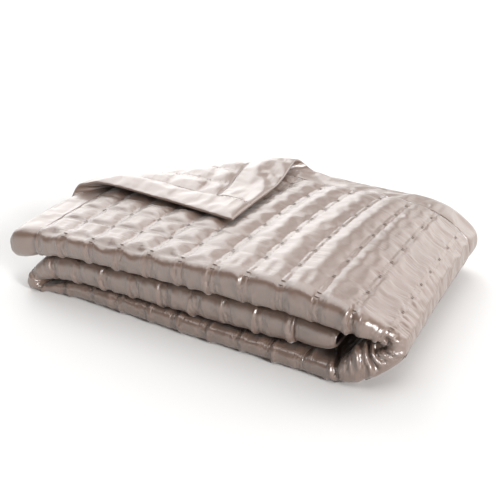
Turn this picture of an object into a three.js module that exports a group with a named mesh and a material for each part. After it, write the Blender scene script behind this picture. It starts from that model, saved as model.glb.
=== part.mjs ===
import * as THREE from "three";

// A quilted silk bedspread with plain satin borders. It lies folded in four across its width, then in
// three along its length, and one corner of its top layer is turned back. Millimetres, Z up.

// The cloth laid flat: u runs along its length, v across its width, and both start at the turned corner.
const quilt = { seamPitch: 70, seamSpaces: 34, rowPitch: 61, rowSpaces: 32, rowInset: 42 };
const border = 72;
const panelLength = quilt.seamPitch * quilt.seamSpaces;
const panelWidth = quilt.rowPitch * quilt.rowSpaces + 2 * quilt.rowInset;
const length = panelLength + 2 * border;
const width = panelWidth + 2 * border;

// Thickness of the filled cloth between seams, at a seam and at a tack, and of the border
const padding = {
  pillow: 13, seam: 4.4, tack: 3.4, crease: 0.35, puff: 1.45,
  border: 9.5, borderSeam: 4.4, borderEdge: 3,
};

// Gaps between the pieces and between the layers, the first and last layer's inset, and how much the fold
// lines and the underside are pressed
const apart = { pieces: 0.4, layers: 0.84, least: 1.2, folded: 0.32, inner: 7.1, outer: 10.2, floor: 1.6 };

// The two sides of the folded strip, seen from the front, from the loose left end of the top band round
// the right turn, the bottom band and the left turn to the inner end: the outer side, the inner side, and
// how far back the strip's front lies.
const stations = [
  { at: "top left end", u: 0, outX: -66, outZ: 128, inX: -62, inZ: 77, back: -10 },
  { at: "top left crest", u: 14, outX: -55, outZ: 140, inX: -52, inZ: 71, back: -8 },
  { at: "border seam", u: 72, outX: 2, outZ: 146, inX: 2, inZ: 84, back: 0 },
  { at: "top band", u: 142, outX: 71, outZ: 152, inX: 70, inZ: 97, back: 0 },
  { at: "top band", u: 282, outX: 211, outZ: 160, inX: 210, inZ: 101, back: 0 },
  { at: "top band", u: 422, outX: 351, outZ: 167, inX: 350, inZ: 105, back: 0 },
  { at: "top band", u: 562, outX: 491, outZ: 172, inX: 490, inZ: 108, back: 0 },
  { at: "top band", u: 632, outX: 561, outZ: 173, inX: 560, inZ: 109, back: 0 },
  { at: "top crest", u: 702, outX: 629, outZ: 168, inX: 630, inZ: 106, back: 0 },
  { at: "right shoulder", u: 772, outX: 696, outZ: 153, inX: 694, inZ: 101, back: 0 },
  { at: "right shoulder", u: 822, outX: 741, outZ: 130, inX: 724, inZ: 98, back: 3 },
  { at: "right turn", u: 870, outX: 777, outZ: 95, inX: 738, inZ: 93, back: 8 },
  { at: "right turn", u: 914, outX: 778, outZ: 56, inX: 739, inZ: 88, back: 12 },
  { at: "right turn", u: 958, outX: 743, outZ: 22, inX: 732, inZ: 83, back: 12 },
  { at: "right foot", u: 1000, outX: 706, outZ: 3, inX: 708, inZ: 78, back: 6 },
  { at: "behind inner end", u: 1036, outX: 681, outZ: 0, inX: 692, inZ: 60, back: 0 },
  { at: "behind inner end", u: 1054, outX: 669, outZ: 0, inX: 677, inZ: 42, back: -2 },
  { at: "bottom band", u: 1100, outX: 630, outZ: 0, inX: 630, inZ: 37, back: 1 },
  { at: "bottom band", u: 1400, outX: 330, outZ: 0, inX: 330, inZ: 38, back: 8 },
  { at: "bottom band", u: 1640, outX: 90, outZ: 0, inX: 90, inZ: 36, back: 18 },
  { at: "left taper", u: 1700, outX: 30, outZ: 0, inX: 36, inZ: 27, back: 15 },
  { at: "left taper", u: 1752, outX: -22, outZ: 0.5, inX: -4, inZ: 15, back: 6 },
  { at: "left turn", u: 1786, outX: -46, outZ: 15, inX: -14, inZ: 19.5, back: 2 },
  { at: "left turn", u: 1822, outX: -30, outZ: 46, inX: -8, inZ: 27, back: 4 },
  { at: "left rise", u: 1862, outX: -2, outZ: 75, inX: 14, inZ: 30, back: 10 },
  { at: "left rise", u: 1902, outX: 32, outZ: 87, inX: 38, inZ: 35, back: 14 },
  { at: "middle band", u: 1962, outX: 92, outZ: 94, inX: 92, inZ: 38, back: 15 },
  { at: "middle band", u: 2240, outX: 370, outZ: 102, inX: 370, inZ: 41, back: 15 },
  { at: "middle band", u: 2452, outX: 582, outZ: 105, inX: 582, inZ: 44, back: 15 },
  { at: "inner end", u: 2510, outX: 646, outZ: 100, inX: 646, inZ: 47, back: 15 },
  { at: "inner end", u: 2524, outX: 663, outZ: 89, inX: 662, inZ: 57, back: 15 },
];

// The folds across the width, in order from the top layer's loose edge at the back. Layers count up from
// the inner side; arc is the cloth in the fold, and depth how far a loose fold reaches past its ends.
const topEdge = 541;
const foldsAcross = [
  { at: "outer fold, front", v: 529, arc: 72, depth: 22, layer: 0 },
  { at: "fold, back", v: 1122, arc: 26, layer: 1 },
  { at: "inner fold, front", v: 1645, arc: 26, layer: 2 },
];
const topLayer = 3;

// The turned corner: where its fold starts along each edge, its roll, and how high it rests on the layer
const turned = {
  alongEnd: 366, alongSide: 430, rolls: [12.5, 11, 13.5, 15], rest: 18, settle: 150,
  reach: 1.27, drift: 0.33, bulge: 14, lift: 9, ease: 140, tunnel: 9,
};

// The whole bundle: its crown, the slant of its right end, its rounded front right corner, its back edge,
// the sag of the lower layers at the back left, and the unevenness of loose cloth
const crown = { rise: 15, middle: 250, reach: 250, height: 165 };
const slant = { from: 520, reach: 250, back: 34, depth: 480 };
const corner = { from: 690, reach: 95, back: 42, fade: 260 };
const edge = { from: 400, to: 540, drop: 0.05, left: 330, right: 400, fade: 560, end: 720 };
const sag = { right: 230, left: -60, front: 220, back: 545, share: 0.3 };
const uneven = { wave: 2.2, along: 210, across: 170 };
const centre = { x: 355.82, y: 269.6 };

const smooth = (from, to, x) => {
  const t = Math.min(1, Math.max(0, (x - from) / (to - from)));
  return t * t * (3 - 2 * t);
};
const mix = (a, b, t) => a + (b - a) * t;

// A smooth curve through one column of the stations
function along(u, column) {
  let i = 1;
  while (i < stations.length - 1 && stations[i].u < u) i++;
  const [a, b] = [stations[i - 1], stations[i]];
  const slope = (k) => {
    const [p, q] = [stations[Math.max(0, k - 1)], stations[Math.min(stations.length - 1, k + 1)]];
    return (q[column] - p[column]) / (q.u - p.u);
  };
  const span = b.u - a.u;
  const t = Math.min(1, Math.max(0, (u - a.u) / span));
  const [t2, t3] = [t * t, t * t * t];
  return (
    a[column] * (2 * t3 - 3 * t2 + 1) + slope(i - 1) * span * (t3 - 2 * t2 + t) +
    b[column] * (3 * t2 - 2 * t3) + slope(i) * span * (t3 - t2)
  );
}

// How far back a point of the cloth lies and in which layer; a turn from layer to layer also has its fold and
// how far past the fold's ends it reaches
function across(v) {
  let [y, layer, way, start] = [topEdge, topLayer, -1, 0];
  for (const fold of foldsAcross) {
    if (v <= fold.v) break;
    y += way * (fold.v - start);
    if (v < fold.v + fold.arc) {
      const turn = (Math.PI * (v - fold.v)) / fold.arc;
      return { y, fold, past: way * Math.sin(turn), layer: mix(layer, fold.layer, (1 - Math.cos(turn)) / 2) };
    }
    [layer, way, start] = [fold.layer, -way, fold.v + fold.arc];
  }
  return { y: y + way * (v - start), layer };
}

// Room for the layers at u: the strip's height, the insets of its outer layers and the step between layers
function room(u) {
  const [outX, outZ, inX, inZ] = ["outX", "outZ", "inX", "inZ"].map((c) => along(u, c));
  const height = Math.hypot(outX - inX, outZ - inZ);
  const inner = Math.min(height / 8, apart.inner);
  const outer = Math.min(height / 6, apart.outer);
  return { outX, outZ, inX, inZ, height, inner, outer, step: (height - inner - outer) / topLayer };
}

function atLayer(u, layer) {
  const r = room(u);
  const part = (r.inner + r.step * layer) / r.height;
  return { x: mix(r.inX, r.outX, part), z: mix(r.inZ, r.outZ, part) };
}

// How much of its height the bundle keeps where it sags
function kept(x, y) {
  const sunk = sag.share * smooth(sag.right, sag.left, x) * smooth(sag.front, sag.back, y);
  const alongEdge = smooth(edge.left, edge.right, x) * (1 - smooth(edge.fade, edge.end, x));
  return (1 - sunk) * (1 - edge.drop * alongEdge * smooth(edge.from, edge.to, y));
}

// The shape of the whole bundle, applied to a point of the straight folded strip
function settle(x, y, z) {
  const up = Math.max(0, z) / crown.height;
  const off = (y - crown.middle) / crown.reach;
  const toRight = smooth(slant.from, slant.from + slant.reach, x);
  const atCorner = Math.max(0, (x - corner.from) / corner.reach);
  const toFront = 1 - smooth(0, corner.fade, y);
  const lift = Math.min(1, up * 1.6);
  const ripple = uneven.wave * lift * Math.sin(x / uneven.along + 1) * Math.sin(y / uneven.across + 0.4);
  return new THREE.Vector3(
    x - toRight * slant.back * (y / slant.depth),
    y + corner.back * atCorner * atCorner * toFront,
    (z + crown.rise * (1 - off * off) * Math.pow(up, 1.5) + ripple) * kept(x, y),
  );
}

function inLayer(u, y, layer) {
  const { x, z } = atLayer(u, layer);
  return settle(x, y + along(u, "back"), z);
}

// The clear distance from one layer to the next
function spacing(u, y, layer) {
  const alongU = inLayer(u + 1, y, layer).sub(inLayer(u - 1, y, layer));
  const alongY = inLayer(u, y + 1, layer).sub(inLayer(u, y - 1, layer));
  const step = inLayer(u, y, layer + 0.5).sub(inLayer(u, y, layer - 0.5));
  return Math.abs(step.dot(alongU.cross(alongY).normalize()));
}

function lying(u, v) {
  const { y, layer, fold, past } = across(v);
  if (!fold) return inLayer(u, y, layer);
  const depth = fold.depth ?? spacing(u, y, layer) / 2;
  return inLayer(u, y + past * depth, layer);
}

// A value between evenly spaced ones
function between(values, part) {
  const i = Math.min(values.length - 2, Math.floor(part * (values.length - 1)));
  return mix(values[i], values[i + 1], smooth(0, 1, part * (values.length - 1) - i));
}

// How far a point of the top layer lies past the line where the corner is turned back
const turnSlope = Math.hypot(1 / turned.alongSide, 1 / turned.alongEnd);
const pastTurn = (u, v) => (1 - u / turned.alongSide - v / turned.alongEnd) / turnSlope;

// The middle of the cloth's thickness at a point of the flat cloth
function middle(u, v) {
  const past = v < foldsAcross[0].v ? pastTurn(u, v) : -Infinity;
  const toSide = Math.min(1, Math.max(0, (u / turned.alongSide - v / turned.alongEnd + 1) / 2));
  const roll = between(turned.rolls, toSide);
  const lift = turned.lift * toSide;
  const eased = v < foldsAcross[0].v ? lift * Math.pow(smooth(-turned.ease, 0, past), 1.5) : 0;
  if (past <= 0) return lying(u, v).add(new THREE.Vector3(0, 0, eased));
  const [nu, nv] = [-1 / turned.alongSide / turnSlope, -1 / turned.alongEnd / turnSlope];
  const [footU, footV] = [u - nu * past, v - nv * past];
  const half = Math.PI * roll;
  if (past < half) {
    const out = roll * Math.sin(past / roll);
    const risen = roll * (1 - Math.cos(past / roll)) + eased;
    return lying(footU, footV).add(new THREE.Vector3(nu * out, -nv * out, risen));
  }
  const over = (past - half) * turned.reach;
  const side = (past - half) * turned.drift + turned.bulge * Math.sin(Math.min(Math.PI, over / 95));
  const tunnel = turned.tunnel * (1 - smooth(0, 0.5, toSide)) * smooth(0, 30, over);
  const height = mix(2 * roll + lift, turned.rest, smooth(0, turned.settle, over)) + tunnel;
  const under = lying(footU - nu * over - nv * side, footV - nv * over + nu * side);
  return under.add(new THREE.Vector3(0, 0, height));
}

// The direction out of the cloth's upper face
function facing(u, v) {
  const step = 0.5;
  const alongU = middle(u + step, v).sub(middle(u - step, v));
  const alongV = middle(u, v + step).sub(middle(u, v - step));
  return alongV.cross(alongU).normalize();
}

// Half of the cloth's thickness on one side of its middle: less where the layers are pressed or lean, and
// more on the outer face of the bundle, which is free to puff out
function halfThickness(thickness, u, v, side) {
  if (v < foldsAcross[0].v && pastTurn(u, v) > 0) return thickness / 2;
  const { y, layer } = across(v);
  const near = [-1, 0, 1].map((k) => Math.min(topLayer, Math.max(0, layer + k)));
  const clear = Math.min(...near.map((k) => spacing(u, y, k)));
  const fromFolds = foldsAcross.slice(1).map((fold) => Math.abs(v - fold.v - fold.arc / 2));
  const folded = 1 - apart.folded * (1 - smooth(13, 60, Math.min(...fromFolds)));
  const pressed = (folded * Math.min(thickness, clear * apart.layers, clear - apart.least)) / 2;
  const free = side > 0 ? 1 - smooth(foldsAcross[0].v + 36, foldsAcross[0].v + 72, v) : 0;
  const { outer, step } = room(u);
  return mix(pressed, Math.min((thickness * padding.puff) / 2, ((outer - 0.4) * clear) / step), free);
}

// 0 on a line of the quilting and 1 midway between two lines
const hump = (distance, pitch) => Math.pow(Math.abs(Math.sin((Math.PI * distance) / pitch)), 0.7);

function quiltedThickness(u, v) {
  const betweenSeams = hump(u - border, quilt.seamPitch);
  const betweenRows = hump(v - border - quilt.rowInset, quilt.rowPitch);
  const atSeam = mix(padding.tack, padding.seam, betweenRows);
  const full = mix(padding.pillow * (1 - padding.crease), padding.pillow, betweenRows);
  const fromSide = Math.min(v, width - v) - border;
  return mix(padding.seam, mix(atSeam, full, betweenSeams), smooth(0, 18, fromSide));
}

function borderThickness(u, v) {
  const fromEdge = Math.min(u, length - u, v, width - v);
  const rounded = mix(padding.borderEdge, padding.border, Math.sqrt(smooth(-4, 12, fromEdge)));
  return mix(rounded, padding.borderSeam, smooth(border - 14, border, fromEdge));
}

// One closed piece of the cloth, in blocks that follow each other along its length. A block has rows, and
// each row its place v and the places u of its points on the upper and the lower face. A lower face may
// skip rows, but not the first and the last.
function clothPiece(blocks, thickness) {
  const [positions, index] = [[], []];
  const point = (u, v, side) => {
    const half = halfThickness(thickness(u, v), u, v, side);
    const p = middle(u, v).addScaledVector(facing(u, v), side * half);
    positions.push(p.x - centre.x, p.y - centre.y, Math.max(0, p.z - apart.floor));
    return { u, v, id: positions.length / 3 - 1 };
  };
  const [upper, lower] = ["upper", "lower"].map((face) => {
    const side = face === "upper" ? 1 : -1;
    const line = ({ v, [face]: us }) => us.map((u) => point(u, v, side));
    const lines = blocks.map((rows) => rows.filter((each) => each[face]).map(line));
    const starts = lines.map((block) => block.map((points) => points[0]));
    const ends = lines.map((block) => block.map((points) => points.at(-1)));
    for (const block of lines) {
      for (let k = 1; k < block.length; k++) join(index, block[k - 1], block[k], "u", side > 0);
    }
    for (let i = 1; i < lines.length; i++) join(index, ends[i - 1], starts[i], "v", side < 0);
    return {
      first: lines.flatMap((block) => block[0]),
      last: lines.flatMap((block) => block.at(-1)),
      start: starts[0],
      end: ends.at(-1),
    };
  });
  join(index, upper.first, lower.first, "u", false);
  join(index, upper.last, lower.last, "u", true);
  join(index, upper.start, lower.start, "v", true);
  join(index, upper.end, lower.end, "v", false);
  const geometry = new THREE.BufferGeometry();
  geometry.setAttribute("position", new THREE.Float32BufferAttribute(positions, 3));
  geometry.setIndex(index);
  geometry.computeVertexNormals();
  return geometry;
}

// Triangles between two lines of points, each sorted along u or v
function join(index, a, b, way, forward) {
  let [i, j] = [0, 0];
  const nextMiddle = (line, k) => (k < line.length - 1 ? line[k][way] + line[k + 1][way] : Infinity);
  while (i < a.length - 1 || j < b.length - 1) {
    const stepA = nextMiddle(a, i) <= nextMiddle(b, j);
    const next = stepA ? a[i + 1].id : b[j + 1].id;
    index.push(...(forward ? [a[i].id, b[j].id, next] : [b[j].id, a[i].id, next]));
    if (stepA) i++;
    else j++;
  }
}

// Where the points lie along the length: parts of a seam space, by how much of the cloth shows there
const detail = {
  roll: [0, 0.16, 0.38, 0.62, 0.84],
  fine: [0, 0.16, 0.5, 0.84],
  fold: [0, 0.34, 0.67],
  tip: [0, 0.2, 0.4, 0.6, 0.8],
  medium: [0, 0.5],
  coarse: [0.5],
};
const blockSeam = 7;
const turns = { right: [780, 1150], left: [1680, 1920] };
const inTip = (u) => (u > 842 && u < 982) || (u > 1752 && u < 1822);
const inTurn = (u) => Object.values(turns).some(([from, to]) => u > from && u < to);
const inRoll = (u, v) => Math.abs(pastTurn(u, v) - 30) < 60;
const inSag = (u) => u < 290 || (u > 1480 && u < 2120);
const hidden = (u, seam) => (seam % 2 === 1 || inSag(u) ? "coarse" : "none");

function upperLevel(u, v, seam) {
  if (inRoll(u, v)) return "roll";
  if (inTip(u)) return "tip";
  if (inTurn(u)) return v < 620 && u < 1000 ? "fine" : "fold";
  if (v < 620 && (u < turns.right[0] || v > 500)) return "fine";
  return v < 620 ? "coarse" : hidden(u, seam);
}

function lowerLevel(u, v, seam) {
  if (inRoll(u, v)) return "roll";
  if (inTip(u)) return "tip";
  if (inTurn(u)) return "fold";
  return v < 450 && pastTurn(u, v) > -60 ? "fine" : hidden(u, seam);
}

// The places in the seam spaces from one seam to another
function places(level, v, from, to) {
  const found = [];
  for (let seam = from; seam < to; seam++) {
    const start = border + seam * quilt.seamPitch;
    const parts = detail[level(start + quilt.seamPitch / 2, v, seam)] ?? [];
    for (const part of parts) found.push(start + part * quilt.seamPitch);
  }
  if (from === 0) found.unshift(border + apart.pieces / 2);
  if (to === quilt.seamSpaces) found.push(length - border - apart.pieces / 2);
  return found.filter((u, i) => i === 0 || u - found[i - 1] > 1);
}

const row = (j) => border + quilt.rowInset + j * quilt.rowPitch;
const hiddenRows = [130, 250, 330, 400, 465];

// The rows from the turned side to the inner side, closer together where the corner rolls over
function rowPlaces(rolled) {
  const found = [border + apart.pieces / 2];
  if (rolled) found.push(82, 92, 103);
  for (let j = 0; row(j) < 500; j += rolled && row(j) < 380 ? 0.25 : 0.5) found.push(row(j));
  found.push(526, row(7), 556, 571.5, 587, row(8), 620);
  found.push(...hiddenRows.map((y) => y + 589));
  found.push(1122, 1131, 1139, 1148);
  found.push(...hiddenRows.map((y) => 1681 - y).reverse());
  found.push(1645, 1654, 1662, 1671);
  found.push(...hiddenRows.map((y) => y + 1635));
  found.push(width - border - apart.pieces / 2);
  return found;
}

function panelBlock(from, to) {
  const all = rowPlaces(from === 0);
  return all.map((v, i) => {
    if (i === 0 || i === all.length - 1) {
      const at = i === 0 ? border : width;
      return { v, upper: places(borderLevel, at, from, to), lower: places(lowerLevel, at, from, to) };
    }
    const skipped = from > 0 && v < 500 && i % 2 === 1;
    return {
      v,
      upper: places(upperLevel, v, from, to),
      lower: skipped ? undefined : places(lowerLevel, v, from, to),
    };
  });
}

const acrossBorder = [0, 7, 38, 62, border - apart.pieces / 2];
const acrossRoll = [0, 7, 22, 38, 50, 62, border - apart.pieces / 2];

// A border's upper face shows on the top band only
function borderLevel(u, v, seam) {
  if (inRoll(u, v)) return "roll";
  if (inTip(u)) return "tip";
  if (inTurn(u)) return "fold";
  return v < 620 && u < turns.right[0] ? "medium" : hidden(u, seam);
}

// A border along one end of the cloth, from edge to edge of its width
function endBorder(atFarEnd) {
  const us = atFarEnd ? acrossBorder.map((w) => length - w).reverse() : acrossBorder;
  const vs = [0, 7, 38, ...rowPlaces(!atFarEnd), width - 38, width - 7, width];
  return clothPiece([vs.map((v) => ({ v, upper: us, lower: us }))], borderThickness);
}

// A border along one side, between the two end borders
function sideBorder(atFarSide) {
  const at = atFarSide ? width : border;
  const block = (from, to) => {
    const ws = from === 0 && !atFarSide ? acrossRoll : acrossBorder;
    const vs = atFarSide ? ws.map((w) => width - w).reverse() : ws;
    const [upper, lower] = [borderLevel, lowerLevel].map((level) => places(level, at, from, to));
    return vs.map((v) => ({ v, upper, lower }));
  };
  return clothPiece([block(0, blockSeam), block(blockSeam, quilt.seamSpaces)], borderThickness);
}

function quiltedPanel() {
  const blocks = [panelBlock(0, blockSeam), panelBlock(blockSeam, quilt.seamSpaces)];
  return clothPiece(blocks, quiltedThickness);
}

const silk = () => new THREE.MeshStandardMaterial({ color: "#b9aca0", roughness: 0.38, metalness: 0 });
const satin = () => new THREE.MeshStandardMaterial({ color: "#b3a598", roughness: 0.32, metalness: 0 });

const pieces = {
  quilted_panel: [quiltedPanel(), silk()],
  border_turned_end: [endBorder(false), satin()],
  border_inner_end: [endBorder(true), satin()],
  border_turned_side: [sideBorder(false), satin()],
  border_inner_side: [sideBorder(true), satin()],
};

const bedspread = new THREE.Group();
for (const [name, [geometry, material]] of Object.entries(pieces)) {
  const mesh = new THREE.Mesh(geometry, material);
  mesh.name = name;
  bedspread.add(mesh);
}

export default bedspread;
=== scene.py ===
import math

import bmesh
import bpy
import numpy as np
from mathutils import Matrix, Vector


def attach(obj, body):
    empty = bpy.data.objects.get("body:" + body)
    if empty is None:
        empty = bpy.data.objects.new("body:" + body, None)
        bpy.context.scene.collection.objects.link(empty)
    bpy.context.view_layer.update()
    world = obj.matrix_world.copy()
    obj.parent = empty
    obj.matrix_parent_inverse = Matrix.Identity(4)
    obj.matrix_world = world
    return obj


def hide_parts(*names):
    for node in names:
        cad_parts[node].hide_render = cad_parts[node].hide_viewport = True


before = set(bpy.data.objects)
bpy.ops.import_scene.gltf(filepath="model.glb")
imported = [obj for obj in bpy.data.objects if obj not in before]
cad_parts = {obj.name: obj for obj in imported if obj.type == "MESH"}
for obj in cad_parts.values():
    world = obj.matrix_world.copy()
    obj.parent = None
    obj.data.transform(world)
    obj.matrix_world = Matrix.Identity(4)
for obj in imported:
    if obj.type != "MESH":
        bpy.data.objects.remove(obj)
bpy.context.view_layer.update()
print("frame loaded")

# A quilted silk bedspread, folded in four across its width and in three along its length, with one
# corner of its top layer turned back. The cloth is planned flat, in millimetres: u runs along its length
# and v across its width, both from the turned corner. Every piece is drawn on that plan and then folded.
millimetre = 0.001
quilt = {
    "border": 72,  # plain satin round the quilted panel
    "seamPitch": 70,
    "seamSpaces": 34,
    "rowPitch": 61,  # from one tack of a seam to the next
    "rowSpaces": 32,
    "rowInset": 42,
    "channel": 5.2,  # from a seam's middle to each of its two rows of stitches
    "pieceGap": 0.2,
}
panelLength = quilt["seamPitch"] * quilt["seamSpaces"]
panelWidth = quilt["rowPitch"] * quilt["rowSpaces"] + 2 * quilt["rowInset"]
clothLength = panelLength + 2 * quilt["border"]
clothWidth = panelWidth + 2 * quilt["border"]
firstRow = quilt["border"] + quilt["rowInset"]
splitSeam = quilt["border"] + 15 * quilt["seamPitch"]  # the panel's two meshes meet here, near the floor

folding = {
    "topEdge": 541,  # how far back the top layer's loose edge lies
    "topLayer": 3,  # layers count from the inner side
    "across": (  # in order from the loose edge: arc is the cloth in a fold
        {"v": 529, "arc": 72, "depth": 22, "layer": 0, "round": 0.62},
        {"v": 1122, "arc": 26, "depth": 0, "layer": 1, "round": 1},
        {"v": 1645, "arc": 26, "depth": 0, "layer": 2, "round": 1},
    ),
    "innerInset": 7.1,
    "outerInset": 10.2,
    "pressedShare": 0.84,
    "leastGap": 1.2,
    "foldPress": 0.32,
    "puff": 1.45,  # the outer face is free to swell
    "floorPress": 1.6,
    "centre": (355.82, 269.6),
    "crown": {"rise": 15, "middle": 250, "reach": 250, "height": 165},
    "slant": {"from": 520, "reach": 250, "back": 34, "depth": 480},
    "corner": {"from": 690, "reach": 95, "back": 42, "fade": 260},
    "edge": {"from": 400, "to": 540, "drop": 0.05, "left": 330, "right": 400, "fade": 560, "end": 720},
    "sag": {"right": 230, "left": -60, "front": 220, "back": 545, "share": 0.3},
    "uneven": {"wave": 2.2, "along": 210, "across": 170},
}
stations = np.array([  # u, outer side x and z, inner side x and z, how far back the strip's front lies
    (0, -66, 128, -62, 77, -10),  # loose left end of the top band
    (14, -55, 140, -52, 71, -8),
    (72, 2, 146, 2, 84, 0),
    (142, 71, 152, 70, 97, 0),
    (282, 211, 160, 210, 101, 0),
    (422, 351, 167, 350, 105, 0),
    (562, 491, 172, 490, 108, 0),
    (632, 561, 173, 560, 109, 0),
    (702, 629, 168, 630, 106, 0),
    (772, 696, 153, 694, 101, 0),  # right turn
    (822, 741, 130, 724, 98, 3),
    (870, 777, 95, 738, 93, 8),
    (914, 778, 56, 739, 88, 12),
    (958, 743, 22, 732, 83, 12),
    (1000, 706, 3, 708, 78, 6),
    (1036, 681, 0, 692, 60, 0),
    (1054, 669, 0, 677, 42, -2),
    (1100, 630, 0, 630, 37, 1),  # bottom band
    (1400, 330, 0, 330, 38, 8),
    (1640, 90, 0, 90, 36, 18),
    (1700, 30, 0, 36, 27, 15),  # left turn
    (1752, -22, 0.5, -4, 15, 6),
    (1786, -46, 15, -14, 19.5, 2),
    (1822, -30, 46, -8, 27, 4),
    (1862, -2, 75, 14, 30, 10),
    (1902, 32, 87, 38, 35, 14),
    (1962, 92, 94, 92, 38, 15),  # middle band
    (2240, 370, 102, 370, 41, 15),
    (2452, 582, 105, 582, 44, 15),
    (2510, 646, 100, 646, 47, 15),
    (2524, 663, 89, 662, 57, 15),
], float)
turned = {
    "alongEnd": 366,
    "alongSide": 430,
    "rolls": (12.5, 11, 13.5, 15),  # from the end's side to the long side
    "rest": 18,
    "settle": 150,
    "reach": 1.27,
    "drift": 0.33,
    "bulge": 14,
    "lift": 9,
    "ease": 140,
    "tunnel": 9,
}


def smooth(low, high, x):
    t = np.clip((x - low) / (high - low), 0, 1)
    return t * t * (3 - 2 * t)


def mix(a, b, t):
    return a + (b - a) * t


def stationCurve(u, column):
    places, values = stations[:, 0], stations[:, column]
    last = len(places) - 1
    order = np.arange(last + 1)
    before, after = np.maximum(order - 1, 0), np.minimum(order + 1, last)
    slopes = (values[after] - values[before]) / (places[after] - places[before])
    i = np.clip(np.searchsorted(places, u), 1, last)
    span = places[i] - places[i - 1]
    t = np.clip((u - places[i - 1]) / span, 0, 1)
    start = values[i - 1] * (2 * t**3 - 3 * t**2 + 1) + slopes[i - 1] * span * (t**3 - 2 * t**2 + t)
    return start + values[i] * (3 * t**2 - 2 * t**3) + slopes[i] * span * (t**3 - t**2)


# How a fold goes round: half an ellipse, drawn out into its corners where round is under 1, at an even pace
def roundFold(part, squared):
    turn = np.linspace(0, math.pi, 121)
    out, over = np.sin(turn) ** squared, np.sign(np.cos(turn)) * np.abs(np.cos(turn)) ** squared
    way = np.concatenate([[0], np.cumsum(np.hypot(np.diff(out), 1.35 * np.diff(over)))])
    return np.interp(part, way / way[-1], out), np.interp(part, way / way[-1], over)


def acrossWidth(v):
    y, layer = folding["topEdge"] - v, np.full_like(v, folding["topLayer"])
    past, depth = np.zeros_like(v), np.zeros_like(v)
    reached, above, way, start = folding["topEdge"], folding["topLayer"], -1, 0
    for fold in folding["across"]:
        reached += way * (fold["v"] - start)
        way, start = -way, fold["v"] + fold["arc"]
        part = np.clip((v - fold["v"]) / fold["arc"], 0, 1)
        out, over = roundFold(part, fold["round"])
        begun = part > 0
        y = np.where(begun, reached + way * np.maximum(0, v - start), y)
        layer = np.where(begun, mix(above, fold["layer"], (1 - over) / 2), layer)
        past = np.where(begun, -way * out, past)
        depth = np.where(begun, fold["depth"], depth)
        above = fold["layer"]
    return y, layer, past, depth


def room(u):
    outX, outZ, inX, inZ = (stationCurve(u, column) for column in (1, 2, 3, 4))
    height = np.hypot(outX - inX, outZ - inZ)
    inner = np.minimum(height / 8, folding["innerInset"])
    outer = np.minimum(height / 6, folding["outerInset"])
    step = (height - inner - outer) / folding["topLayer"]
    return outX, outZ, inX, inZ, height, inner, outer, step


def heightKept(x, y):
    sag, edge = folding["sag"], folding["edge"]
    sunk = sag["share"] * smooth(sag["right"], sag["left"], x) * smooth(sag["front"], sag["back"], y)
    alongEdge = smooth(edge["left"], edge["right"], x) * (1 - smooth(edge["fade"], edge["end"], x))
    return (1 - sunk) * (1 - edge["drop"] * alongEdge * smooth(edge["from"], edge["to"], y))


def settle(x, y, z):
    crown, slant, corner, uneven = (folding[name] for name in ("crown", "slant", "corner", "uneven"))
    up = np.maximum(0, z) / crown["height"]
    off = (y - crown["middle"]) / crown["reach"]
    toRight = smooth(slant["from"], slant["from"] + slant["reach"], x)
    atCorner = np.maximum(0, (x - corner["from"]) / corner["reach"])
    toFront = 1 - smooth(0, corner["fade"], y)
    ripple = np.sin(x / uneven["along"] + 1) * np.sin(y / uneven["across"] + 0.4)
    raised = crown["rise"] * (1 - off * off) * up**1.5 + uneven["wave"] * np.minimum(1, up * 1.6) * ripple
    return np.stack([
        x - toRight * slant["back"] * (y / slant["depth"]),
        y + corner["back"] * atCorner * atCorner * toFront,
        (z + raised) * heightKept(x, y),
    ], axis=-1)


def inLayer(u, y, layer):
    outX, outZ, inX, inZ, height, inner, outer, step = room(u)
    part = (inner + step * layer) / height
    return settle(mix(inX, outX, part), y + stationCurve(u, 5), mix(inZ, outZ, part))


def spacing(u, y, layer):
    alongU = inLayer(u + 1, y, layer) - inLayer(u - 1, y, layer)
    alongY = inLayer(u, y + 1, layer) - inLayer(u, y - 1, layer)
    step = inLayer(u, y, layer + 0.5) - inLayer(u, y, layer - 0.5)
    out = np.cross(alongU, alongY)
    return np.abs((step * out).sum(-1)) / np.linalg.norm(out, axis=-1)


def lying(u, v):
    y, layer, past, depth = acrossWidth(v)
    tight = (np.abs(past) > 1e-9) & (depth == 0)
    if tight.any():
        depth = np.where(tight, 0, depth)
        depth[tight] = spacing(u[tight], y[tight], layer[tight]) / 2
    return inLayer(u, y + past * depth, layer)


turnSlope = math.hypot(1 / turned["alongSide"], 1 / turned["alongEnd"])
acrossTurn = (-1 / turned["alongSide"] / turnSlope, -1 / turned["alongEnd"] / turnSlope)


def pastTurn(u, v):
    onTop = v < folding["across"][0]["v"]
    return np.where(onTop, (1 - u / turned["alongSide"] - v / turned["alongEnd"]) / turnSlope, -1e6)


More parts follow.
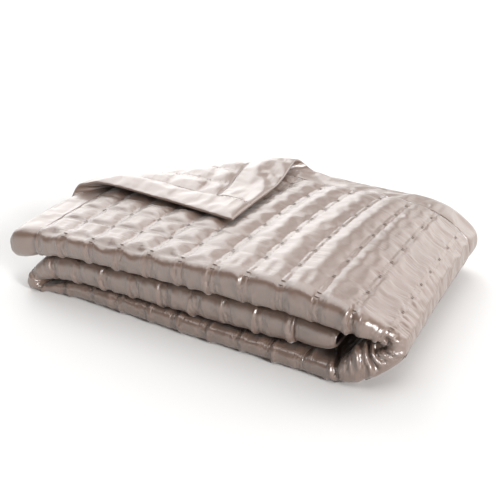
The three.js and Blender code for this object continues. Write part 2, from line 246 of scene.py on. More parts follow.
def middle(u, v):
    past = pastTurn(u, v)
    toSide = np.clip((u / turned["alongSide"] - v / turned["alongEnd"] + 1) / 2, 0, 1)
    rolls = np.array(turned["rolls"], float)
    part = toSide * (len(rolls) - 1)
    i = np.minimum(len(rolls) - 2, part.astype(int))
    roll = mix(rolls[i], rolls[i + 1], smooth(0, 1, part - i))
    lift = turned["lift"] * toSide
    half = math.pi * roll
    around = np.clip(past, 0, half) / roll
    over = np.maximum(0, past - half) * turned["reach"]
    swung = turned["bulge"] * np.sin(np.minimum(math.pi, over / 95))
    side = np.where(past > half, (past - half) * turned["drift"] + swung, 0)
    nu, nv = acrossTurn
    back = np.maximum(past, 0) + over
    points = lying(u - nu * back - nv * side, v - nv * back + nu * side)
    out = roll * np.sin(around)
    tunnel = turned["tunnel"] * (1 - smooth(0, 0.5, toSide)) * smooth(0, 30, over)
    resting = mix(2 * roll + lift, turned["rest"], smooth(0, turned["settle"], over)) + tunnel
    risen = roll * (1 - np.cos(around)) + lift * smooth(-turned["ease"], 0, past) ** 1.5
    points[..., 0] += nu * out
    points[..., 1] -= nv * out
    points[..., 2] += np.where(past > half, resting, risen)
    return points


def facing(u, v):
    step = 0.5
    out = np.cross(middle(u, v + step) - middle(u, v - step), middle(u + step, v) - middle(u - step, v))
    return out / np.linalg.norm(out, axis=-1, keepdims=True)


def halfThickness(thickness, u, v, side):
    y, layer, past, depth = acrossWidth(v)
    near = [np.clip(layer + k, 0, folding["topLayer"]) for k in (-1, 0, 1)]
    clear = np.minimum.reduce([spacing(u, y, each) for each in near])
    middles = [fold["v"] + fold["arc"] / 2 for fold in folding["across"][1:]]
    fromFolds = np.minimum.reduce([np.abs(v - each) for each in middles])
    folded = 1 - folding["foldPress"] * (1 - smooth(13, 60, fromFolds))
    fitting = np.minimum(clear * folding["pressedShare"], clear - folding["leastGap"])
    pressed = folded * np.minimum(thickness, fitting) / 2
    outerFold = folding["across"][0]["v"]
    free = np.where(side > 0, 1 - smooth(outerFold + 36, outerFold + 72, v), 0)
    height, inner, outer, step = room(u)[4:]
    swollen = np.minimum(thickness * folding["puff"] / 2, (outer - 0.4) * clear / step)
    return np.where(pastTurn(u, v) > 0, thickness / 2, mix(pressed, swollen, free))


def softNoise(x, y, seed):
    table = np.random.default_rng(seed).uniform(-1, 1, (64, 64))
    x0, y0 = np.floor(x), np.floor(y)
    tx, ty = smooth(0, 1, x - x0), smooth(0, 1, y - y0)
    i, j = x0.astype(int) % 64, y0.astype(int) % 64
    i1, j1 = (i + 1) % 64, (j + 1) % 64
    return mix(mix(table[i, j], table[i1, j], tx), mix(table[i, j1], table[i1, j1], tx), ty)


def fromSeam(u):
    pitch = quilt["seamPitch"]
    return np.abs((u - quilt["border"] + pitch / 2) % pitch - pitch / 2)


def fromRow(v):
    pitch = quilt["rowPitch"]
    return np.abs((v - firstRow + pitch / 2) % pitch - pitch / 2)


# A folded piece: a flat plate of cloth, its grid lines where the plan asks for them, bent to the fold
def foldedShell(name, uLines, vLines, thickness, relief):
    shell = bmesh.new()
    bmesh.ops.create_grid(shell, x_segments=len(uLines) - 1, y_segments=len(vLines) - 1, size=1)
    bmesh.ops.solidify(shell, geom=shell.faces[:], thickness=0.1)
    bmesh.ops.recalc_face_normals(shell, faces=shell.faces[:])
    mesh = bpy.data.meshes.new(name)
    shell.to_mesh(mesh)
    shell.free()
    flat = np.zeros(len(mesh.vertices) * 3)
    mesh.vertices.foreach_get("co", flat)
    flat = flat.reshape(-1, 3)
    u = np.asarray(uLines, float)[np.rint((flat[:, 0] + 1) / 2 * (len(uLines) - 1)).astype(int)]
    v = np.asarray(vLines, float)[np.rint((flat[:, 1] + 1) / 2 * (len(vLines) - 1)).astype(int)]
    side = np.where(flat[:, 2] > flat[:, 2].mean(), 1.0, -1.0)
    half = halfThickness(thickness(u, v), u, v, side)
    points = middle(u, v) + facing(u, v) * (side * half + side * relief(u, v, side))[:, None]
    points[:, 2] = np.maximum(0, points[:, 2] - folding["floorPress"])
    points[:, :2] -= folding["centre"]
    mesh.vertices.foreach_set("co", (points * millimetre).ravel())
    mesh.update()
    corners = np.zeros(len(mesh.loops), int)
    mesh.loops.foreach_get("vertex_index", corners)
    plan = mesh.uv_layers.new(name="plan")
    plan.data.foreach_set("uv", (np.stack([u, v], axis=-1)[corners] * millimetre).ravel())
    mesh.polygons.foreach_set("use_smooth", np.ones(len(mesh.polygons), bool))
    piece = bpy.data.objects.new(name, mesh)
    bpy.context.scene.collection.objects.link(piece)
    return piece, u, v, side


swelling = {
    "frames": 16,
    "quality": 4,
    "pressure": 2.5,
    "vertexMass": 0.002,
    "levels": 20,  # steps of the holding weights
}


# The free cloth between stitches is simulated, swollen by its filling and a little longer than the shape
# that holds it, so that it puckers as sewn silk does. The shape that it takes is kept, up to a cap.
def swell(shell, held, shown, slack, bending, cap):
    piece, u, v, side = shell
    part = piece.copy()
    part.data = piece.data.copy()
    bpy.context.scene.collection.objects.link(part)
    number = part.data.attributes.new("number", "INT", "POINT")
    number.data.foreach_set("value", np.arange(len(u)))
    cut = bmesh.new()
    cut.from_mesh(part.data)
    cut.verts.ensure_lookup_table()
    bmesh.ops.delete(cut, geom=[cut.verts[k] for k in np.flatnonzero(~shown)], context="VERTS")
    cut.to_mesh(part.data)
    cut.free()
    own = np.zeros(len(part.data.vertices), int)
    part.data.attributes["number"].data.foreach_get("value", own)
    for name, weights in (("held", held), ("taut", 1 - slack / slack.max())):
        levels = np.rint(weights[own] * swelling["levels"]).astype(int)
        group = part.vertex_groups.new(name=name)
        for level in np.unique(levels):
            group.add(np.flatnonzero(levels == level).tolist(), level / swelling["levels"], "REPLACE")
    cloth = part.modifiers.new("swelling", "CLOTH")
    cloth.settings.vertex_group_mass = "held"
    cloth.settings.quality = swelling["quality"]
    cloth.settings.mass = swelling["vertexMass"]
    cloth.settings.bending_stiffness = bending
    cloth.settings.use_pressure = True
    cloth.settings.uniform_pressure_force = swelling["pressure"]
    cloth.settings.shrink_min = -slack.max()
    cloth.settings.shrink_max = 0
    cloth.settings.vertex_group_shrink = "taut"
    cloth.settings.effector_weights.gravity = 0
    cloth.collision_settings.use_collision = False
    cloth.point_cache.frame_start = 1
    cloth.point_cache.frame_end = swelling["frames"]
    for each in range(1, swelling["frames"] + 1):
        bpy.context.scene.frame_set(each)
    settled = part.evaluated_get(bpy.context.evaluated_depsgraph_get()).data
    after, before = np.zeros(len(own) * 3), np.zeros(len(u) * 3)
    settled.vertices.foreach_get("co", after)
    piece.data.vertices.foreach_get("co", before)
    before = before.reshape(-1, 3)
    moved = after.reshape(-1, 3) - before[own]
    far = np.linalg.norm(moved, axis=1, keepdims=True) / millimetre
    before[own] += moved * np.minimum(1, cap / np.maximum(far, 1e-6))
    before[:, 2] = np.maximum(0, before[:, 2])
    piece.data.vertices.foreach_set("co", before.ravel())
    piece.data.update()
    bpy.data.objects.remove(part)
    bpy.context.scene.frame_set(1)
    print(piece.name, "swelled:", len(own), "points, most moved", round(float(far.max()), 1), "mm")


def steps(low, high, size):
    count = max(1, round((high - low) / size))
    return [low + (high - low) * k / count for k in range(count + 1)]


def joined(*runs):
    lines = sorted(set(round(each, 3) for run in runs for each in run))
    return [each for k, each in enumerate(lines) if k == 0 or each - lines[k - 1] > 0.6]


def seamLines(low, high, offsets):
    found = {low, high}
    for seam in range(quilt["seamSpaces"] + 1):
        centre = quilt["border"] + seam * quilt["seamPitch"]
        for offset in offsets:
            found |= {each for each in (centre - offset, centre + offset) if low < each < high}
    return joined(found)


hiddenLines = joined(  # places across the cloth where only its folds at the back need close lines
    (650, 700, 790, 900, 1010, 1085), steps(1110, 1160, 6), (1180, 1230, 1330, 1430, 1530, 1605),
    (1630,), steps(1640, 1676, 6), (1692, 1740, 1830, 1930, 2030, 2085),
)

thread = {
    "pitch": 61 / 6,  # of the running stitches
    "stitch": (2.1, 0.55, 0.4),  # half lengths along, across and out of the cloth
    "tack": (3.6, 0.7, 0.6),
    "crestTack": (5.6, 1.0, 0.8),  # those that the front fold draws open, made larger: their dark thread is partly the tack and partly painted shade of the opened fold
    "crest": 520,
    "tackRise": 1.2,
    "tackSpace": 5.6,  # between the two stitches of a tack
    "seamPitch": 7.5,
    "seamStitch": (3.2, 0.55, 0.5),
    "last": 626,  # how far round the front fold the stitches go on
    "leastHeight": 1.5,  # none lies lower, where the cloth rests on the floor
}
panel = {
    "pillow": 14.5,
    "seam": 4.6,
    "tack": 3.2,
    "cord": 3.2,  # how much the narrow channel swells between its two rows
    "crease": (0.78, 0.06),  # share of the height lost between tacks, at the left and at the right
    "dome": 0.85,
    "bow": 7,  # how far a crease bows between its two tacks
    "groove": 1.5,  # where the pillows begin beside a seam at the left of the top, where they are freest
    "drawnSeam": 12,  # the front fold and the right side are drawn flatter
    "acrossSeams": (0, 2.6, 5.2, 7.5, 10.5, 14.5, 19.5, 25, 30, 35),
    "rowStep": 61 / 12,
    "frontRowStep": 61 / 18,
    "lowRowStep": 12,
    "rowHold": 0.35,
    "slack": {"left": 0.005, "right": 0.001, "turn": 0.003, "front": 0.005},  # smoother towards the right
    "bending": 2.4,
    "cap": 5,
    "puckers": (  # beside a seam, in order from it
        {"beside": -9, "steep": 3, "gentle": 8, "height": 3.6, "uneven": 2.6},
        {"beside": 19, "steep": 4, "gentle": 7, "height": 1.2, "uneven": 2.6},
    ),
    "puckered": (534, 620),
    "drawnRight": (330, 560),  # where the top passes from free pillows to drawn ones, along u
    "stretched": (430, 620),
    "turnsShown": (1080, 1680, 1900),  # the cloth shows before the first of these and between the others
    "lastShown": 632,  # how far round the front fold the cloth shows
    "lastFree": 620,
    "cornerLines": (845, 1090, 3.2),  # from, to and step of the close lines round the front right corner
}
cornerCreases = (  # u and v at both ends, width, depth; a ridge has a negative depth
    (1076, 634, 1062, 600, 5.5, 9), (1062, 600, 1050, 556, 5.5, 8), (1068, 585, 1060, 556, 5, -3),
    (980, 596, 961, 556, 4.5, 8), (990, 596, 972, 556, 5, -3.5),
    (966, 592, 940, 562, 4, 7), (974, 588, 950, 560, 4, -3),
    (1008, 594, 992, 562, 6, -4.5), (1024, 578, 1014, 560, 6, -2.5), (1036, 600, 1030, 570, 7, 2.5),
    (958, 590, 905, 582, 6, 11), (905, 582, 850, 559, 6, 10), (900, 566, 868, 550, 4, -2.5),
    (930, 572, 900, 566, 3.5, -3), (925, 560, 890, 556, 3.5, -2.5), (915, 548, 885, 544, 3.5, -1.5),
    (771, 540, 777, 582, 6.5, 5.5), (764, 542, 750, 580, 4.5, -3.5), (784, 541, 790, 566, 4, -2.5),
    (800, 546, 803, 566, 4, -2), (813, 545, 816, 564, 4, -2.2), (828, 548, 830, 576, 4.5, -3),
)


def atTurnsShown(u):
    low, start, end = panel["turnsShown"]
    return (u < low) | ((u > start) & (u < end))


# How thick the quilting is: pillows between the seams, drawn in at the tacks and by the creases between them
def quiltedThickness(u, v):
    seam = np.floor((u - quilt["border"]) / quilt["seamPitch"])
    bow = panel["bow"] * softNoise(seam * 2.9, np.rint((v - firstRow) / quilt["rowPitch"]) * 3.1, 31)
    d, r = fromSeam(u), fromRow(v)
    toRight = smooth(*panel["drawnRight"], u)
    atFront = smooth(510, 545, v) * (1 - smooth(610, 640, v))
    free = (1 - toRight) * (1 - atFront)
    begin = mix(quilt["channel"], panel["groove"], free)
    t = np.clip((d - begin) / (quilt["seamPitch"] / 2 - begin), 0, 1)
    fromTack = mix(np.sin(np.pi * np.minimum(r / quilt["rowPitch"], 0.5)) ** 0.7, smooth(0, 13, r), toRight)
    drawn = np.maximum(atFront, 0.55 * smooth(*panel["stretched"], u) * (u < panel["turnsShown"][0]))
    atSeam = mix(panel["tack"], mix(panel["seam"], panel["drawnSeam"], drawn), mix(fromTack, 1, 0.8 * drawn))
    raised = panel["cord"] * mix(0.25, 1, atFront)
    cord = raised * np.clip(1 - (d / quilt["channel"]) ** 2, 0, 1) * fromTack
    fromCrease = fromRow(v + bow * t * (2 - t))
    kept = 1 - mix(*panel["crease"], toRight) * np.maximum(0, 1 - fromCrease / mix(9, 24, t)) ** 2.2
    fromSide = np.minimum(v, clothWidth - v) - quilt["border"]
    domed = np.sin(np.pi / 2 * t) ** panel["dome"]
    return mix(panel["seam"], mix(atSeam, panel["pillow"] * kept, domed) + cord, smooth(0, 18, fromSide))


# Folds that run down the front beside each seam, where the tacks gather the cloth: steep towards the seam
def puckers(u, v):
    pitch = quilt["seamPitch"]
    seam = np.rint((u - quilt["border"]) / pitch)
    fromMiddle = u - quilt["border"] - seam * pitch
    total = np.zeros_like(u)
    for number, fold in enumerate(panel["puckers"]):
        height = fold["height"] + fold["uneven"] * softNoise(seam * 2.3 + 0.5, v / 24, 21 + number)
        off = fromMiddle - fold["beside"] - 4 * softNoise(seam * 3.7, v / 17, 23 + number)
        off /= np.where((off > 0) == (fold["beside"] < 0), fold["steep"], fold["gentle"])
        total += np.maximum(0, height) * np.exp(-off * off)
    low, high = panel["puckered"]
    return total * smooth(low, low + 18, v) * (1 - smooth(high - 30, high, v))


def creased(u, v, creases):
    total = np.zeros_like(u)
    for u1, v1, u2, v2, width, depth in creases:
        length = math.hypot(u2 - u1, v2 - v1)
        along = ((u - u1) * (u2 - u1) + (v - v1) * (v2 - v1)) / length
        past = np.maximum(0, np.abs(along - length / 2) - length / 2)
        off = ((u - u1) * (v2 - v1) - (v - v1) * (u2 - u1)) / length / width
        total -= depth * (1 - 0.7 * off * off) * np.exp(-off * off - (past / width) ** 2)
    return total


def panelRelief(u, v, side):
    d = fromSeam(u)
    nearSeam = np.exp(-np.maximum(0, d - quilt["channel"]) / 13) * smooth(2, quilt["channel"], d)
    pulls = softNoise(u / 34, v / 9.5, 3) * 0.8 + softNoise(u / 60, v / 15, 5) * 0.7
    flatter = smooth(*panel["stretched"], u) * (1 - smooth(490, 540, v))
    loose = softNoise(u / 47, v / 39, 7) * mix(0.9, 0.3, flatter)
    shown = np.where(side > 0, 1 - smooth(590, 640, v), smooth(-60, 0, pastTurn(u, v)))
    folds = np.where(side > 0, puckers(u, v) + creased(u, v, cornerCreases), 0)
    return shown * (nearSeam * pulls + loose * smooth(quilt["channel"], 24, d)) + folds


def panelSlack(u, v):
    slack = panel["slack"]
    onTop = mix(slack["left"], slack["right"], smooth(430, 640, u))
    return mix(mix(onTop, slack["turn"], smooth(760, 860, u)), slack["front"], smooth(500, 545, v))


# Where the panel's cloth is held: at its stitches and tacks, more loosely in the creases between tacks,
# and at the edge of what shows
def heldPanel(shell):
    piece, u, v, side = shell
    onFlap = (v < folding["across"][0]["v"]) & (pastTurn(u, v) > -40)
    shown = np.where(side > 0, (v < panel["lastShown"]) & (atTurnsShown(u) | (v > 490)), onFlap)
    onStitches = np.abs(fromSeam(u) - quilt["channel"]) < 0.1
    stitch = (np.cos(2 * np.pi * (v - firstRow) / thread["pitch"]) > 0.2) | (fromRow(v) < 3)
    held = np.where(onStitches, np.where(stitch, 1.0, 0.5), 0)
    toMiddle = smooth(quilt["channel"], quilt["seamPitch"] / 2, fromSeam(u))
    inCrease = panel["rowHold"] * (1 - 0.6 * toMiddle) * (1 - smooth(*panel["drawnRight"], u))
    held = np.maximum(held, np.where(fromRow(v) < 2.3, inCrease, 0))
    ends = (quilt["border"], clothLength - quilt["border"], splitSeam)
    fromEnds = np.minimum.reduce([np.abs(u - end) for end in ends])
    rim = (fromEnds < 1) | (v < quilt["border"] + 1) | (v > panel["lastFree"])
    rim |= (side < 0) & (pastTurn(u, v) < -36)
    return np.where(rim, 1.0, held), shown


def makePanel():
    near, far = quilt["border"] + quilt["pieceGap"], clothLength - quilt["border"] - quilt["pieceGap"]
    sides = (near, clothWidth - near)
    crest, last = firstRow + 6 * quilt["rowPitch"], firstRow + 8.6 * quilt["rowPitch"]
    topRows = joined(
        sides, steps(near, firstRow, 5), steps(firstRow, crest, panel["rowStep"]),
        steps(crest, last, panel["frontRowStep"]), hiddenLines,
    )
    lowRows = joined(
        sides, steps(near, firstRow, 12), steps(firstRow, crest, panel["lowRowStep"]),
        steps(crest, last, panel["frontRowStep"]), hiddenLines,
    )
    topLines = seamLines(near, splitSeam - quilt["pieceGap"], panel["acrossSeams"])
    low, high, size = panel["cornerLines"]
    close = [each for each in steps(low, high, size) if fromSeam(each) > 6]
    between = [each for each in close if min(abs(each - k) for k in topLines) > 1.2]
    top = foldedShell("quiltedPanelTop", joined(topLines, between), topRows, quiltedThickness, panelRelief)
    belowLines = seamLines(splitSeam + quilt["pieceGap"], far, panel["acrossSeams"])
    below = foldedShell("quiltedPanelBelow", belowLines, lowRows, quiltedThickness, panelRelief)
    for shell in (top, below):
        swell(shell, *heldPanel(shell), panelSlack(shell[1], shell[2]), panel["bending"], panel["cap"])
    return top, below


border = {
    "full": 10,
    "seam": 4.4,
    "edge": 2.4,
    "step": 3.6,
    "slack": 0.004,
    "bending": 5.0,
    "cap": 4,
    "dome": 0.7,
    "flapPuff": 1.7,  # the turned corner isn't pressed flat
}


def edgeDistance(u, v):
    return np.minimum.reduce([u, clothLength - u, v, clothWidth - v])


def alongBorder(u, v):
    return np.where((u < quilt["border"]) | (u > clothLength - quilt["border"]), v, u)


def borderThickness(u, v):
    fromEdge = edgeDistance(u, v)
    domed = np.sin(np.pi * np.clip((fromEdge + 1) / (quilt["border"] + 2), 0, 1)) ** border["dome"]
    full = border["full"] * mix(1, border["flapPuff"], smooth(0, 40, pastTurn(u, v)))
    return mix(mix(border["edge"], border["seam"], np.clip(fromEdge / quilt["border"], 0, 1)), full, domed)


def borderRelief(u, v, side):
    fromEdge, along = edgeDistance(u, v), alongBorder(u, v)
    ripples = softNoise(along / 26, fromEdge / 50, 11) + softNoise(along / 11, fromEdge / 30, 12) * 0.5
    return ripples * smooth(0, 14, fromEdge) * np.where(side > 0, 1 - smooth(590, 640, v), 1)


def heldBorder(shell):
    piece, u, v, side = shell
    fromEdge = edgeDistance(u, v)
    seamed = fromEdge > quilt["border"] - 2
    stitched = seamed & (np.rint(alongBorder(u, v) / 4) % 2 == 0)
    held = np.where(stitched, 1.0, np.where(seamed, 0.5, 0))
    held = np.where(fromEdge < 1, 0.6, held)
    return np.where(v > panel["lastFree"], 1.0, held), v < panel["lastShown"]


def makeBorders():
    width, gap = quilt["border"], quilt["pieceGap"]
    farLines = (clothWidth - width, clothWidth - 30, clothWidth - 10, clothWidth)
    edgeToSeam = joined((0, 1.5, 3.5), steps(7, width - gap, border["step"]))
    topRows = joined(steps(0, 640, border["step"]), hiddenLines, farLines)
    lowRows = joined(steps(0, 500, 12), steps(500, 640, 5), hiddenLines, farLines)
    fromFar = [clothLength - each for each in reversed(edgeToSeam)]
    fromSide = [clothWidth - each for each in reversed(edgeToSeam)]
    alongSide = steps(width + gap, clothLength - width - gap, 5)
    plans = {
        "border_turned_end": ("borderTurnedEnd", edgeToSeam, topRows),
        "border_inner_end": ("borderInnerEnd", fromFar, lowRows),
        "border_turned_side": ("borderTurnedSide", alongSide, edgeToSeam),
        "border_inner_side": ("borderInnerSide", alongSide, fromSide),
    }
    made = {}
    for node, plan in plans.items():
        shell = foldedShell(*plan, borderThickness, borderRelief)
        held, shown = heldBorder(shell)
        if shown.any():
            slack = np.full_like(held, border["slack"])
            swell(shell, held, shown, slack, border["bending"], border["cap"])
        made[node] = shell
    return made


# One face of a folded piece, to sew on: 1 is its upper face and -1 its lower one
def clothFace(shell, way):
    piece, u, v, side = shell
    flat = np.zeros(len(u) * 3)
    piece.data.vertices.foreach_get("co", flat)
    uLines, vLines = np.unique(u), np.unique(v)
    points = np.zeros((len(uLines), len(vLines), 3))
    own = side == way
    points[np.searchsorted(uLines, u[own]), np.searchsorted(vLines, v[own])] = flat.reshape(-1, 3)[own]
    return uLines, vLines, points, way


def placeOn(face, u, v):
    uLines, vLines, points, way = face
    i = np.clip(np.searchsorted(uLines, u) - 1, 0, len(uLines) - 2)
    j = np.clip(np.searchsorted(vLines, v) - 1, 0, len(vLines) - 2)
    s = ((u - uLines[i]) / (uLines[i + 1] - uLines[i]))[:, None]
    t = ((v - vLines[j]) / (vLines[j + 1] - vLines[j]))[:, None]
    return mix(mix(points[i, j], points[i + 1, j], s), mix(points[i, j + 1], points[i + 1, j + 1], s), t)


# Each stitch is a small bead of thread: its place on the plan, whether it runs along v, its half lengths
def beads(face, u, v, alongV, halves, rise=0):
    centre = placeOn(face, u, v)
    overU = placeOn(face, u + 2.5, v) - placeOn(face, u - 2.5, v)
    overV = placeOn(face, u, v + 2.5) - placeOn(face, u, v - 2.5)
    out = np.cross(overV, overU) * face[3]
    out /= np.linalg.norm(out, axis=1, keepdims=True)
    along = overV if alongV else overU
    along = along / np.linalg.norm(along, axis=1, keepdims=True)
    centre += out * rise * millimetre
    sizes = np.array(halves)[None, :, None] * millimetre
    axes = np.stack([along, np.cross(out, along), out], axis=1) * sizes
    clear = centre[:, 2] > thread["leastHeight"] * millimetre
    ball = bmesh.new()
    bmesh.ops.create_uvsphere(ball, u_segments=6, v_segments=4, radius=1)
    shape = np.array([vertex.co for vertex in ball.verts])
    faces = [[vertex.index for vertex in each.verts] for each in ball.faces]
    ball.free()
    return (centre[clear, None, :] + shape @ axes[clear]), faces


def sewnPiece(name, runs):
    points, faces = [], []
    for places, shape in runs:
        for bead in places:
            start = len(points)
            points.extend(bead.tolist())
            faces.extend([start + k for k in each] for each in shape)
    mesh = bpy.data.meshes.new(name)
    mesh.from_pydata(points, [], faces)
    mesh.polygons.foreach_set("use_smooth", np.ones(len(mesh.polygons), bool))
    piece = bpy.data.objects.new(name, mesh)
    bpy.context.scene.collection.objects.link(piece)
    return piece


# The places of the quilting's stitches that show, on each face of the panel's two pieces
def quiltingPlaces(shell, way, pitch, offset, gap):
    u, v = np.meshgrid(
        [quilt["border"] + k * quilt["seamPitch"] for k in range(1, quilt["seamSpaces"])],
        firstRow + np.arange(-3, math.ceil(520 / pitch)) * pitch, indexing="ij",
    )
    u = np.concatenate([u.ravel() - offset, u.ravel() + offset])
    v = np.concatenate([v.ravel() - gap, v.ravel() + gap])
    low, high = shell[1].min() + 6, shell[1].max() - 6
    inside = (u > low) & (u < high) & (v > quilt["border"] + 4) & (v < thread["last"])
    inside &= (gap > 0) | (fromRow(v) > 4)
    onTop = (atTurnsShown(u) | (v > 500)) & (pastTurn(u, v) < -2)
    seen = onTop if way > 0 else pastTurn(u, v) > 4
    return u[inside & seen], v[inside & seen]


def makeThreads(shells, turnedEnd):
    running, tacks = [], []
    for shell in shells:
        for way in (1, -1):
            face = clothFace(shell, way)
            u, v = quiltingPlaces(shell, way, thread["pitch"], quilt["channel"], 0)
            if len(u):
                running.append(beads(face, u, v, True, thread["stitch"]))
            u, v = quiltingPlaces(shell, way, quilt["rowPitch"], 0, thread["tackSpace"] / 2)
            atCrest = v > thread["crest"]
            for size, chosen in (("tack", ~atCrest), ("crestTack", atCrest)):
                if chosen.any():
                    tacks.append(beads(face, u[chosen], v[chosen], False, thread[size], thread["tackRise"]))
    edge = clothFace(turnedEnd, -1)
    v = np.arange(5, quilt["border"], thread["seamPitch"])
    seam = beads(edge, np.full_like(v, quilt["border"] - 3.2), v, False, thread["seamStitch"])
    runs = {"runningStitches": running, "tackStitches": tacks, "seamStitches": [seam]}
    return [sewnPiece(name, places) for name, places in runs.items()]


# Colours are sRGB, turned to linear
def linearColor(hexCode):
    parts = [int(hexCode[k:k + 2], 16) / 255 for k in (1, 3, 5)]
    return (*[c / 12.92 if c <= 0.04045 else ((c + 0.055) / 1.055) ** 2.4 for c in parts], 1)


def addNode(tree, kind, inputs=(), **settings):
    node = tree.nodes.new(kind)
    for name, value in settings.items():
        setattr(node, name, value)
    for socket, value in dict(inputs).items():
        if isinstance(value, bpy.types.NodeSocket):
            tree.links.new(value, node.inputs[socket])
        else:
            node.inputs[socket].default_value = value
    return node


def newMaterial(name, settings):
    material = bpy.data.materials.new(name)
    material.use_nodes = True
    tree = material.node_tree
    shader = tree.nodes["Principled BSDF"]
    for socket, value in settings.items():
        shader.inputs[socket].default_value = value
    return material, tree, shader


silkSatin = {
    "light": "#765e50",
    "deep": "#685144",
    "borderLight": "#775f51",
    "borderDeep": "#695245",
    "shader": {
        "Roughness": 0.35, "IOR": 1.8, "Specular IOR Level": 1.0, "Anisotropic": 0.3,
        "Sheen Weight": 0.4, "Sheen Roughness": 0.4,
    },
}


# Woven silk satin: long floats of the weft on its face give a soft, stretched gloss and fine creases
def makeSatin(name, tone, depth):
    material, tree, shader = newMaterial(name, silkSatin["shader"])
    plan = addNode(tree, "ShaderNodeUVMap", uv_map="plan")
    broad = addNode(tree, "ShaderNodeTexNoise", {"Vector": plan.outputs[0], "Scale": 9.0, "Detail": 3.0})
    tint = addNode(tree, "ShaderNodeMix", {
        "Factor": broad.outputs["Fac"], 6: linearColor(tone[0]), 7: linearColor(tone[1]),
    }, data_type="RGBA")
    tree.links.new(tint.outputs[2], shader.inputs["Base Color"])
    place = addNode(tree, "ShaderNodeSeparateXYZ", {"Vector": plan.outputs[0]})
    patches = addNode(tree, "ShaderNodeTexNoise", {"Vector": plan.outputs[0], "Scale": 24.0, "Detail": 1.0})
    drawnTight = addNode(tree, "ShaderNodeMapRange", {
        "Value": patches.outputs["Fac"], "From Min": 0.4, "From Max": 0.62, "To Min": 0.12,
    })
    onFront = addNode(tree, "ShaderNodeMapRange", {
        "Value": place.outputs["Y"], "From Min": 0.52, "From Max": 0.56,
    }, interpolation_type="SMOOTHSTEP")
    creases = []
    for scale in ((20.0, 125.0, 1.0), (120.0, 38.0, 1.0)):  # across the seams on top, down the front fold
        pulled = addNode(tree, "ShaderNodeMapping", {"Vector": plan.outputs[0], "Scale": scale})
        creases.append(addNode(tree, "ShaderNodeTexNoise", {
            "Vector": pulled.outputs[0], "Scale": 1.0, "Detail": 2.0, "Distortion": 0.4,
        }).outputs["Fac"])
    drawn = addNode(tree, "ShaderNodeMix", {
        "Factor": onFront.outputs["Result"], "A": creases[0], "B": creases[1],
    })
    fromBorder = addNode(tree, "ShaderNodeMath", {0: place.outputs["X"], 1: 0.072}, operation="SUBTRACT")
    fromSeams = addNode(tree, "ShaderNodeMath", {0: fromBorder.outputs[0], 1: 0.035}, operation="PINGPONG")
    besideSeams = addNode(tree, "ShaderNodeMapRange", {
        "Value": fromSeams.outputs[0], "From Min": 0.007, "From Max": 0.026, "To Min": 4.2, "To Max": 1.0,
    })
    gathered = addNode(tree, "ShaderNodeMix", {
        "Factor": onFront.outputs["Result"], "A": drawnTight.outputs["Result"],
        "B": besideSeams.outputs["Result"],
    })
    height = addNode(tree, "ShaderNodeMath", {
        0: drawn.outputs["Result"], 1: gathered.outputs["Result"],
    }, operation="MULTIPLY")
    fine = addNode(tree, "ShaderNodeBump", {
        "Height": height.outputs[0], "Strength": depth, "Distance": 0.003,
    })
    tree.links.new(fine.outputs[0], shader.inputs["Normal"])
    return material


# Spun silk thread, duller than the satin. Its tones are its own colour darkened with painted shade, for the
# shade of the stitch that it sinks into
def makeThreadSilk(name, tone):
    material, tree, shader = newMaterial(name, {"Roughness": 0.55, "IOR": 1.5, "Sheen Weight": 0.3})
    place = addNode(tree, "ShaderNodeTexCoord")
    uneven = addNode(tree, "ShaderNodeTexNoise", {"Vector": place.outputs["Object"], "Scale": 300.0})
    tint = addNode(tree, "ShaderNodeMix", {
        "Factor": uneven.outputs["Fac"], 6: linearColor(tone[0]), 7: linearColor(tone[1]),
    }, data_type="RGBA")
    tree.links.new(tint.outputs[2], shader.inputs["Base Color"])
    twist = addNode(tree, "ShaderNodeBump", {"Height": uneven.outputs["Fac"], "Distance": 0.0002})
    tree.links.new(twist.outputs[0], shader.inputs["Normal"])
    return material


panelSatin = makeSatin("quiltedSilkSatin", (silkSatin["light"], silkSatin["deep"]), 0.5)
borderSatin = makeSatin("plainSilkSatin", (silkSatin["borderLight"], silkSatin["borderDeep"]), 0.25)
paleThread = makeThreadSilk("spunSilkThread", ("#8f7d70", "#766559"))
# The tack thread is darker still. This is painted shade for the shadowed grooves where the tacks pinch the
# satin.
tackThreadShade = makeThreadSilk("tackThreadPaintedShade", ("#735f53", "#594a40"))
panelShells = makePanel()
panelTop, panelBelow = (shell[0] for shell in panelShells)
print("quilted panel folded", len(panelTop.data.polygons), len(panelBelow.data.polygons))
borderShells = makeBorders()
borders = {node: shell[0] for node, shell in borderShells.items()}
print("borders folded", [len(each.data.polygons) for each in borders.values()])
running, tacks, seamStitches = makeThreads(panelShells, borderShells["border_turned_end"])
print("stitches sewn", [len(each.data.polygons) for each in (running, tacks, seamStitches)])
for each, silk, slot in (
    (panelTop, panelSatin, "quilted_silk"), (panelBelow, panelSatin, "quilted_silk"),
    *((each, borderSatin, "plain_satin") for each in borders.values()),
    (running, paleThread, "quilted_silk"), (tacks, tackThreadShade, "quilted_silk"),
    (seamStitches, paleThread, "quilted_silk"),
):
    each.data.materials.append(silk)
    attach(each, "root")
for each in (panelTop, panelBelow):
    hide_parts("quilted_panel")
for node, each in borders.items():
    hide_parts(node)

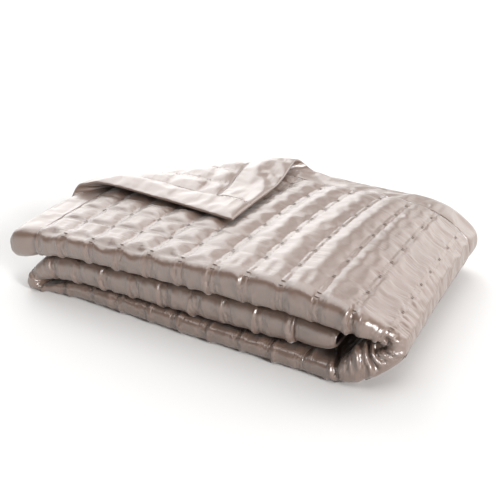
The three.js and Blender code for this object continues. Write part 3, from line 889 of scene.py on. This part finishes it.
studio = {
    "floorSize": 400,
    "floor": "#dddcdb",
    "wall": {"low": 0.12, "high": 0.4, "pale": 0.7, "dark": 0.1},  # a pale wall at the horizon, darker above
    "suns": (  # name, strength, angle in degrees, direction that it shines from
        ("over", 2.2, 70, (-0.15, 0.1, 1)),
        ("gloss", 2.1, 56, (-0.75, 0.6, 0.38)),
        ("crest", 1.1, 50, (0.3, 0.85, 0.4)),
        ("right", 3.0, 20, (0.9, -0.3, 0.38)),
    ),
    "cameraAt": (0.88878, -1.5599, 0.8984),
    "cameraTurn": 30.23,
    "cameraDown": 24.76,
    "lens": 67.5,
}


def makeStudio():
    ground = bmesh.new()
    bmesh.ops.create_grid(ground, x_segments=1, y_segments=1, size=studio["floorSize"] / 2)
    mesh = bpy.data.meshes.new("studioFloor")
    ground.to_mesh(mesh)
    ground.free()
    floor = bpy.data.objects.new("studioFloor", mesh)
    bpy.context.scene.collection.objects.link(floor)
    paper = newMaterial("palePaper", {"Roughness": 0.9, "Base Color": linearColor(studio["floor"])})[0]
    mesh.materials.append(paper)
    world = bpy.data.worlds.new("studio")
    bpy.context.scene.world = world
    world.use_nodes = True
    air, wall = world.node_tree, studio["wall"]
    place = addNode(air, "ShaderNodeTexCoord")
    height = addNode(air, "ShaderNodeSeparateXYZ", {"Vector": place.outputs["Generated"]})
    fading = addNode(air, "ShaderNodeMapRange", {
        "Value": height.outputs["Z"], "From Min": wall["low"], "From Max": wall["high"],
        "To Min": wall["pale"], "To Max": wall["dark"],
    }, interpolation_type="SMOOTHSTEP")
    air.nodes["Background"].inputs["Color"].default_value = linearColor("#f2efec")
    air.links.new(fading.outputs["Result"], air.nodes["Background"].inputs["Strength"])
    for name, strength, angle, source in studio["suns"]:
        sun = bpy.data.lights.new(name, "SUN")
        sun.energy = strength
        sun.angle = math.radians(angle)
        light = bpy.data.objects.new(name, sun)
        light.rotation_euler = Vector(source).to_track_quat("Z", "Y").to_euler()
        bpy.context.scene.collection.objects.link(light)
    camera = bpy.data.objects.new("camera", bpy.data.cameras.new("camera"))
    camera.data.lens = studio["lens"]
    camera.data.sensor_width = 36
    camera.location = studio["cameraAt"]
    camera.rotation_euler = (math.radians(90 - studio["cameraDown"]), 0, math.radians(studio["cameraTurn"]))
    bpy.context.scene.collection.objects.link(camera)
    bpy.context.scene.camera = camera
    bpy.context.scene.view_settings.view_transform = "Standard"


makeStudio()
print("studio ready")
